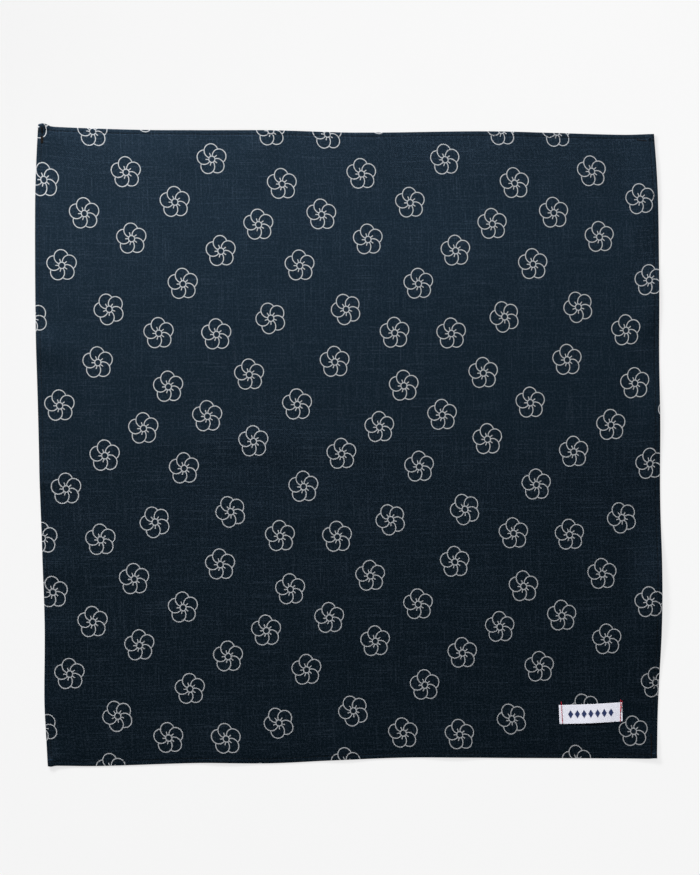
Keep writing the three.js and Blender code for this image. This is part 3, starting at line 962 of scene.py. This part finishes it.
def sewing_thread(name, thread_colour):
    """Sewing thread of three plies, spun and dyed. To the eye it is a soft line with a slanting twist;
    its colour carries painted shade in the grooves between the plies.
    """
    material = new_material(name)
    tree = material.node_tree
    place = add_node(tree, "ShaderNodeUVMap", uv_map="thread")
    parts = add_node(tree, "ShaderNodeSeparateXYZ", {0: place})
    turns = add_node(tree, "ShaderNodeMath", {
        0: parts.outputs["X"], 1: 1 / TWIST_PITCH, 2: parts.outputs["Y"]}, operation="MULTIPLY_ADD")
    angle = add_node(tree, "ShaderNodeMath", {0: turns, 1: 2 * math.pi}, operation="MULTIPLY")
    plies = add_node(tree, "ShaderNodeMath", {0: angle}, operation="SINE")
    # Painted shade: the thread's colour is darkened where the plies dip into the grooves between them.
    shade = add_node(tree, "ShaderNodeMapRange", {
        "Value": plies, "From Min": -1.0, "From Max": 0.4, "To Min": 0.55, "To Max": 1.0})
    tone = add_node(tree, "ShaderNodeVectorMath", {0: thread_colour[:3], "Scale": shade},
                    operation="SCALE")
    bump = add_node(tree, "ShaderNodeBump", {"Height": plies, "Strength": 0.5, "Distance": 0.05 * MM})
    shader = add_node(tree, "ShaderNodeBsdfPrincipled", {
        "Base Color": tone, "Roughness": 0.6, "Normal": bump, "IOR": 1.5,
        "Specular IOR Level": 0.12})
    add_node(tree, "ShaderNodeOutputMaterial", {"Surface": shader})
    return material


def opal_sheet(stage):
    """Acrylic sheet, cast opal and lit softly from below. To the eye it is an even, near white field."""
    material = new_material("acrylic_sheet_cast_opal")
    tree = material.node_tree
    place = add_node(tree, "ShaderNodeTexCoord").outputs["Object"]
    cloud = add_node(tree, "ShaderNodeTexNoise", {"Vector": place, "Scale": 6.0, "Detail": 2.0})
    shade = add_node(tree, "ShaderNodeMapRange", {
        "Value": cloud, "From Min": 0.3, "From Max": 0.7, "To Min": 0.99, "To Max": 1.01})
    tone = add_node(tree, "ShaderNodeVectorMath", {0: stage.floor[:3], "Scale": shade},
                    operation="SCALE")
    away = add_node(tree, "ShaderNodeVectorMath", {0: place, 1: SIDE_PLACE}, operation="DISTANCE")
    fade = add_node(tree, "ShaderNodeMath", {0: away.outputs["Value"], 1: -3.0}, operation="POWER")
    held = add_node(tree, "ShaderNodeMath", {0: fade, 1: GLOW_HOLD}, operation="MINIMUM")
    glow = add_node(tree, "ShaderNodeMath", {0: held, 1: -GLOW_DIP, 2: stage.glow},
                    operation="MULTIPLY_ADD")
    shader = add_node(tree, "ShaderNodeBsdfPrincipled", {
        "Base Color": tone, "Roughness": 0.9, "IOR": 1.49, "Specular IOR Level": 0.1,
        "Emission Color": (1, 1, 1, 1), "Emission Strength": glow})
    add_node(tree, "ShaderNodeOutputMaterial", {"Surface": shader})
    return material


def make_camera(stage):
    """A camera straight above the cloth, whose long side of the frame takes in the view length."""
    data = bpy.data.cameras.new("overhead_camera")
    data.lens = data.sensor_width * stage.camera_height / stage.view_length
    data.clip_start = 0.05
    data.clip_end = 50
    camera = bpy.data.objects.new("overhead_camera", data)
    camera.location = (*VIEW_MIDDLE, stage.camera_height)
    bpy.context.scene.collection.objects.link(camera)
    bpy.context.scene.camera = camera


def make_softbox(name, place, size, power):
    """A rectangular softbox that faces the middle of the cloth."""
    data = bpy.data.lights.new(name, "AREA")
    data.shape = "RECTANGLE"
    data.size, data.size_y = size
    data.energy = power
    light = bpy.data.objects.new(name, data)
    light.location = place
    light.rotation_euler = (-Vector(place)).to_track_quat("-Z", "Y").to_euler()
    bpy.context.scene.collection.objects.link(light)


def make_surround(stage):
    """Pale studio walls all round, and a dim ceiling, so that the dark cloth mirrors little light."""
    world = bpy.data.worlds.new("studio_surround")
    world.use_nodes = True
    tree = world.node_tree
    tree.nodes.clear()
    direction = add_node(tree, "ShaderNodeTexCoord").outputs["Generated"]
    parts = add_node(tree, "ShaderNodeSeparateXYZ", {0: direction})
    level = add_node(tree, "ShaderNodeMapRange", {
        "Value": parts.outputs["Z"], "From Min": 0.45, "From Max": 0.65,
        "To Min": stage.surround, "To Max": 0.05 * stage.surround}, interpolation_type="SMOOTHSTEP")
    background = add_node(tree, "ShaderNodeBackground", {"Strength": level})
    add_node(tree, "ShaderNodeOutputWorld", {"Surface": background})
    bpy.context.scene.world = world


def make_floor(stage):
    """A round floor of opal sheet just under the cloth."""
    turns = np.linspace(0, 2 * math.pi, FLOOR_SIDES + 1)[:-1]
    rings = [np.array(FLOOR_RINGS)[:, None] * f(turns) for f in (np.cos, np.sin)]
    points = np.stack((*rings, np.full_like(rings[0], -FLOOR_DEPTH)), axis=-1).reshape(-1, 3)
    number = np.arange(len(points)).reshape(len(FLOOR_RINGS), -1)
    following = np.roll(number, -1, axis=1)
    bands = np.stack((number[:-1], number[1:], following[1:], following[:-1]), axis=-1).reshape(-1, 4)
    mesh = bpy.data.meshes.new("studio_floor")
    mesh.from_pydata(points.tolist(), [], bands.tolist() + [number[0].tolist()])
    mesh.materials.append(opal_sheet(stage))
    floor = bpy.data.objects.new("studio_floor", mesh)
    bpy.context.scene.collection.objects.link(floor)


class BANDANA_OT_stage(bpy.types.Operator):
    """Sets up the camera, the studio light and the floor"""
    bl_idname = "bandana.stage"
    bl_label = "Stage"

    def execute(self, context):
        stage = context.scene.bandana_stage
        make_camera(stage)
        make_softbox("key_softbox", KEY_PLACE, KEY_SIZE, stage.key_power)
        make_softbox("side_softbox", SIDE_PLACE, SIDE_SIZE, stage.side_power)
        make_surround(stage)
        make_floor(stage)
        context.scene.view_settings.view_transform = "Standard"
        return {"FINISHED"}


class BANDANA_OT_cloth(bpy.types.Operator):
    """Lays the printed cotton with its four hems"""
    bl_idname = "bandana.cloth"
    bl_label = "Cloth"

    def execute(self, context):
        cloth_panel(context.scene.bandana_cloth)
        return {"FINISHED"}


def need(name):
    """Raises an error unless the piece that the next one lies on is there."""
    if name not in bpy.data.objects:
        raise RuntimeError(f"{name} has to be made first")


class BANDANA_OT_hem_stitches(bpy.types.Operator):
    """Sews the four hems, face and reverse"""
    bl_idname = "bandana.hem_stitches"
    bl_label = "Hem stitches"

    def execute(self, context):
        need(CLOTH_PIECE)
        hem_stitch_piece(context.scene.bandana_cloth, context.scene.bandana_thread)
        return {"FINISHED"}


class BANDANA_OT_corner_tacks(bpy.types.Operator):
    """Oversews the seam ends at the corners in brown thread"""
    bl_idname = "bandana.corner_tacks"
    bl_label = "Corner tacks"

    def execute(self, context):
        need(CLOTH_PIECE)
        corner_tack_piece(context.scene.bandana_cloth, context.scene.bandana_thread)
        return {"FINISHED"}


class BANDANA_OT_label(bpy.types.Operator):
    """Lays the woven label near the lower right corner"""
    bl_idname = "bandana.label"
    bl_label = "Label"

    def execute(self, context):
        need(CLOTH_PIECE)
        ribbon_label(context.scene.bandana_label, context.scene.bandana_cloth)
        return {"FINISHED"}


class BANDANA_OT_label_stitches(bpy.types.Operator):
    """Sews down both ends of the label"""
    bl_idname = "bandana.label_stitches"
    bl_label = "Label stitches"

    def execute(self, context):
        need(LABEL_PIECE)
        scene = context.scene
        label_stitch_piece(scene.bandana_cloth, scene.bandana_label, scene.bandana_thread)
        return {"FINISHED"}


STEPS = (
    BANDANA_OT_stage,
    BANDANA_OT_cloth,
    BANDANA_OT_hem_stitches,
    BANDANA_OT_corner_tacks,
    BANDANA_OT_label,
    BANDANA_OT_label_stitches,
)
SETTINGS = {
    "bandana_stage": BandanaStage,
    "bandana_cloth": BandanaCloth,
    "bandana_thread": BandanaThread,
    "bandana_label": BandanaLabel,
}


class BANDANA_PT_panel(bpy.types.Panel):
    """Lists the settings and the steps in their order"""
    bl_label = "Bandana"
    bl_space_type = "VIEW_3D"
    bl_region_type = "UI"
    bl_category = "Bandana"

    def draw(self, context):
        for name, group in SETTINGS.items():
            box = self.layout.box()
            for setting in group.__annotations__:
                box.prop(getattr(context.scene, name), setting)
        for step in STEPS:
            self.layout.operator(step.bl_idname)


def register():
    """Registers the settings, the steps and the panel."""
    for name, group in SETTINGS.items():
        bpy.utils.register_class(group)
        setattr(bpy.types.Scene, name, bpy.props.PointerProperty(type=group))
    for made in (*STEPS, BANDANA_PT_panel):
        bpy.utils.register_class(made)


def unregister():
    """Takes everything out again."""
    for made in (BANDANA_PT_panel, *reversed(STEPS)):
        bpy.utils.unregister_class(made)
    for name, group in reversed(SETTINGS.items()):
        delattr(bpy.types.Scene, name)
        bpy.utils.unregister_class(group)


def main():
    """Registers the add-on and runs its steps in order."""
    register()
    for step in STEPS:
        group, name = step.bl_idname.split(".")
        getattr(getattr(bpy.ops, group), name)()


if __name__ == "__main__":
    main()
